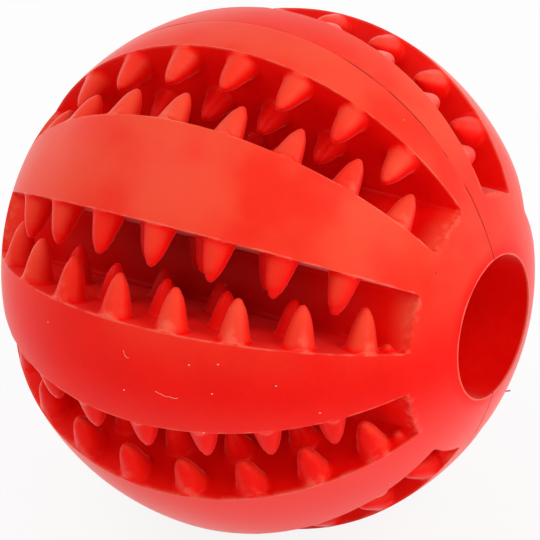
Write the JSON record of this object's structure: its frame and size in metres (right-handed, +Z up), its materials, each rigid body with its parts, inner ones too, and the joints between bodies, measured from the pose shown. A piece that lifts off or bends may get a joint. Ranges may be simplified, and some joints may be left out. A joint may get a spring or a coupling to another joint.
{
  "type": "dog toy ball",
  "caption": "Red rubber dog toy ball with a bore through its middle and deep lengthwise grooves lined with rows of blunt teeth, moulded as bonded halves.",
  "frame": {"origin": "centre of the ball", "axes": "+X along the bore, +Z up in the pictured pose; the two halves meet on the plane y = 0, with the front half at -Y"},
  "size_m": [0.0672, 0.07, 0.07],
  "materials": {
    "front_rubber": "satin moulded natural rubber, bright red, faintly mottled",
    "back_rubber": "satin moulded natural rubber, bright red, faintly mottled"
  },
  "bodies": {
    "root": {"front_half": "front_rubber", "back_half": "back_rubber"}
  },
  "joints": []
}
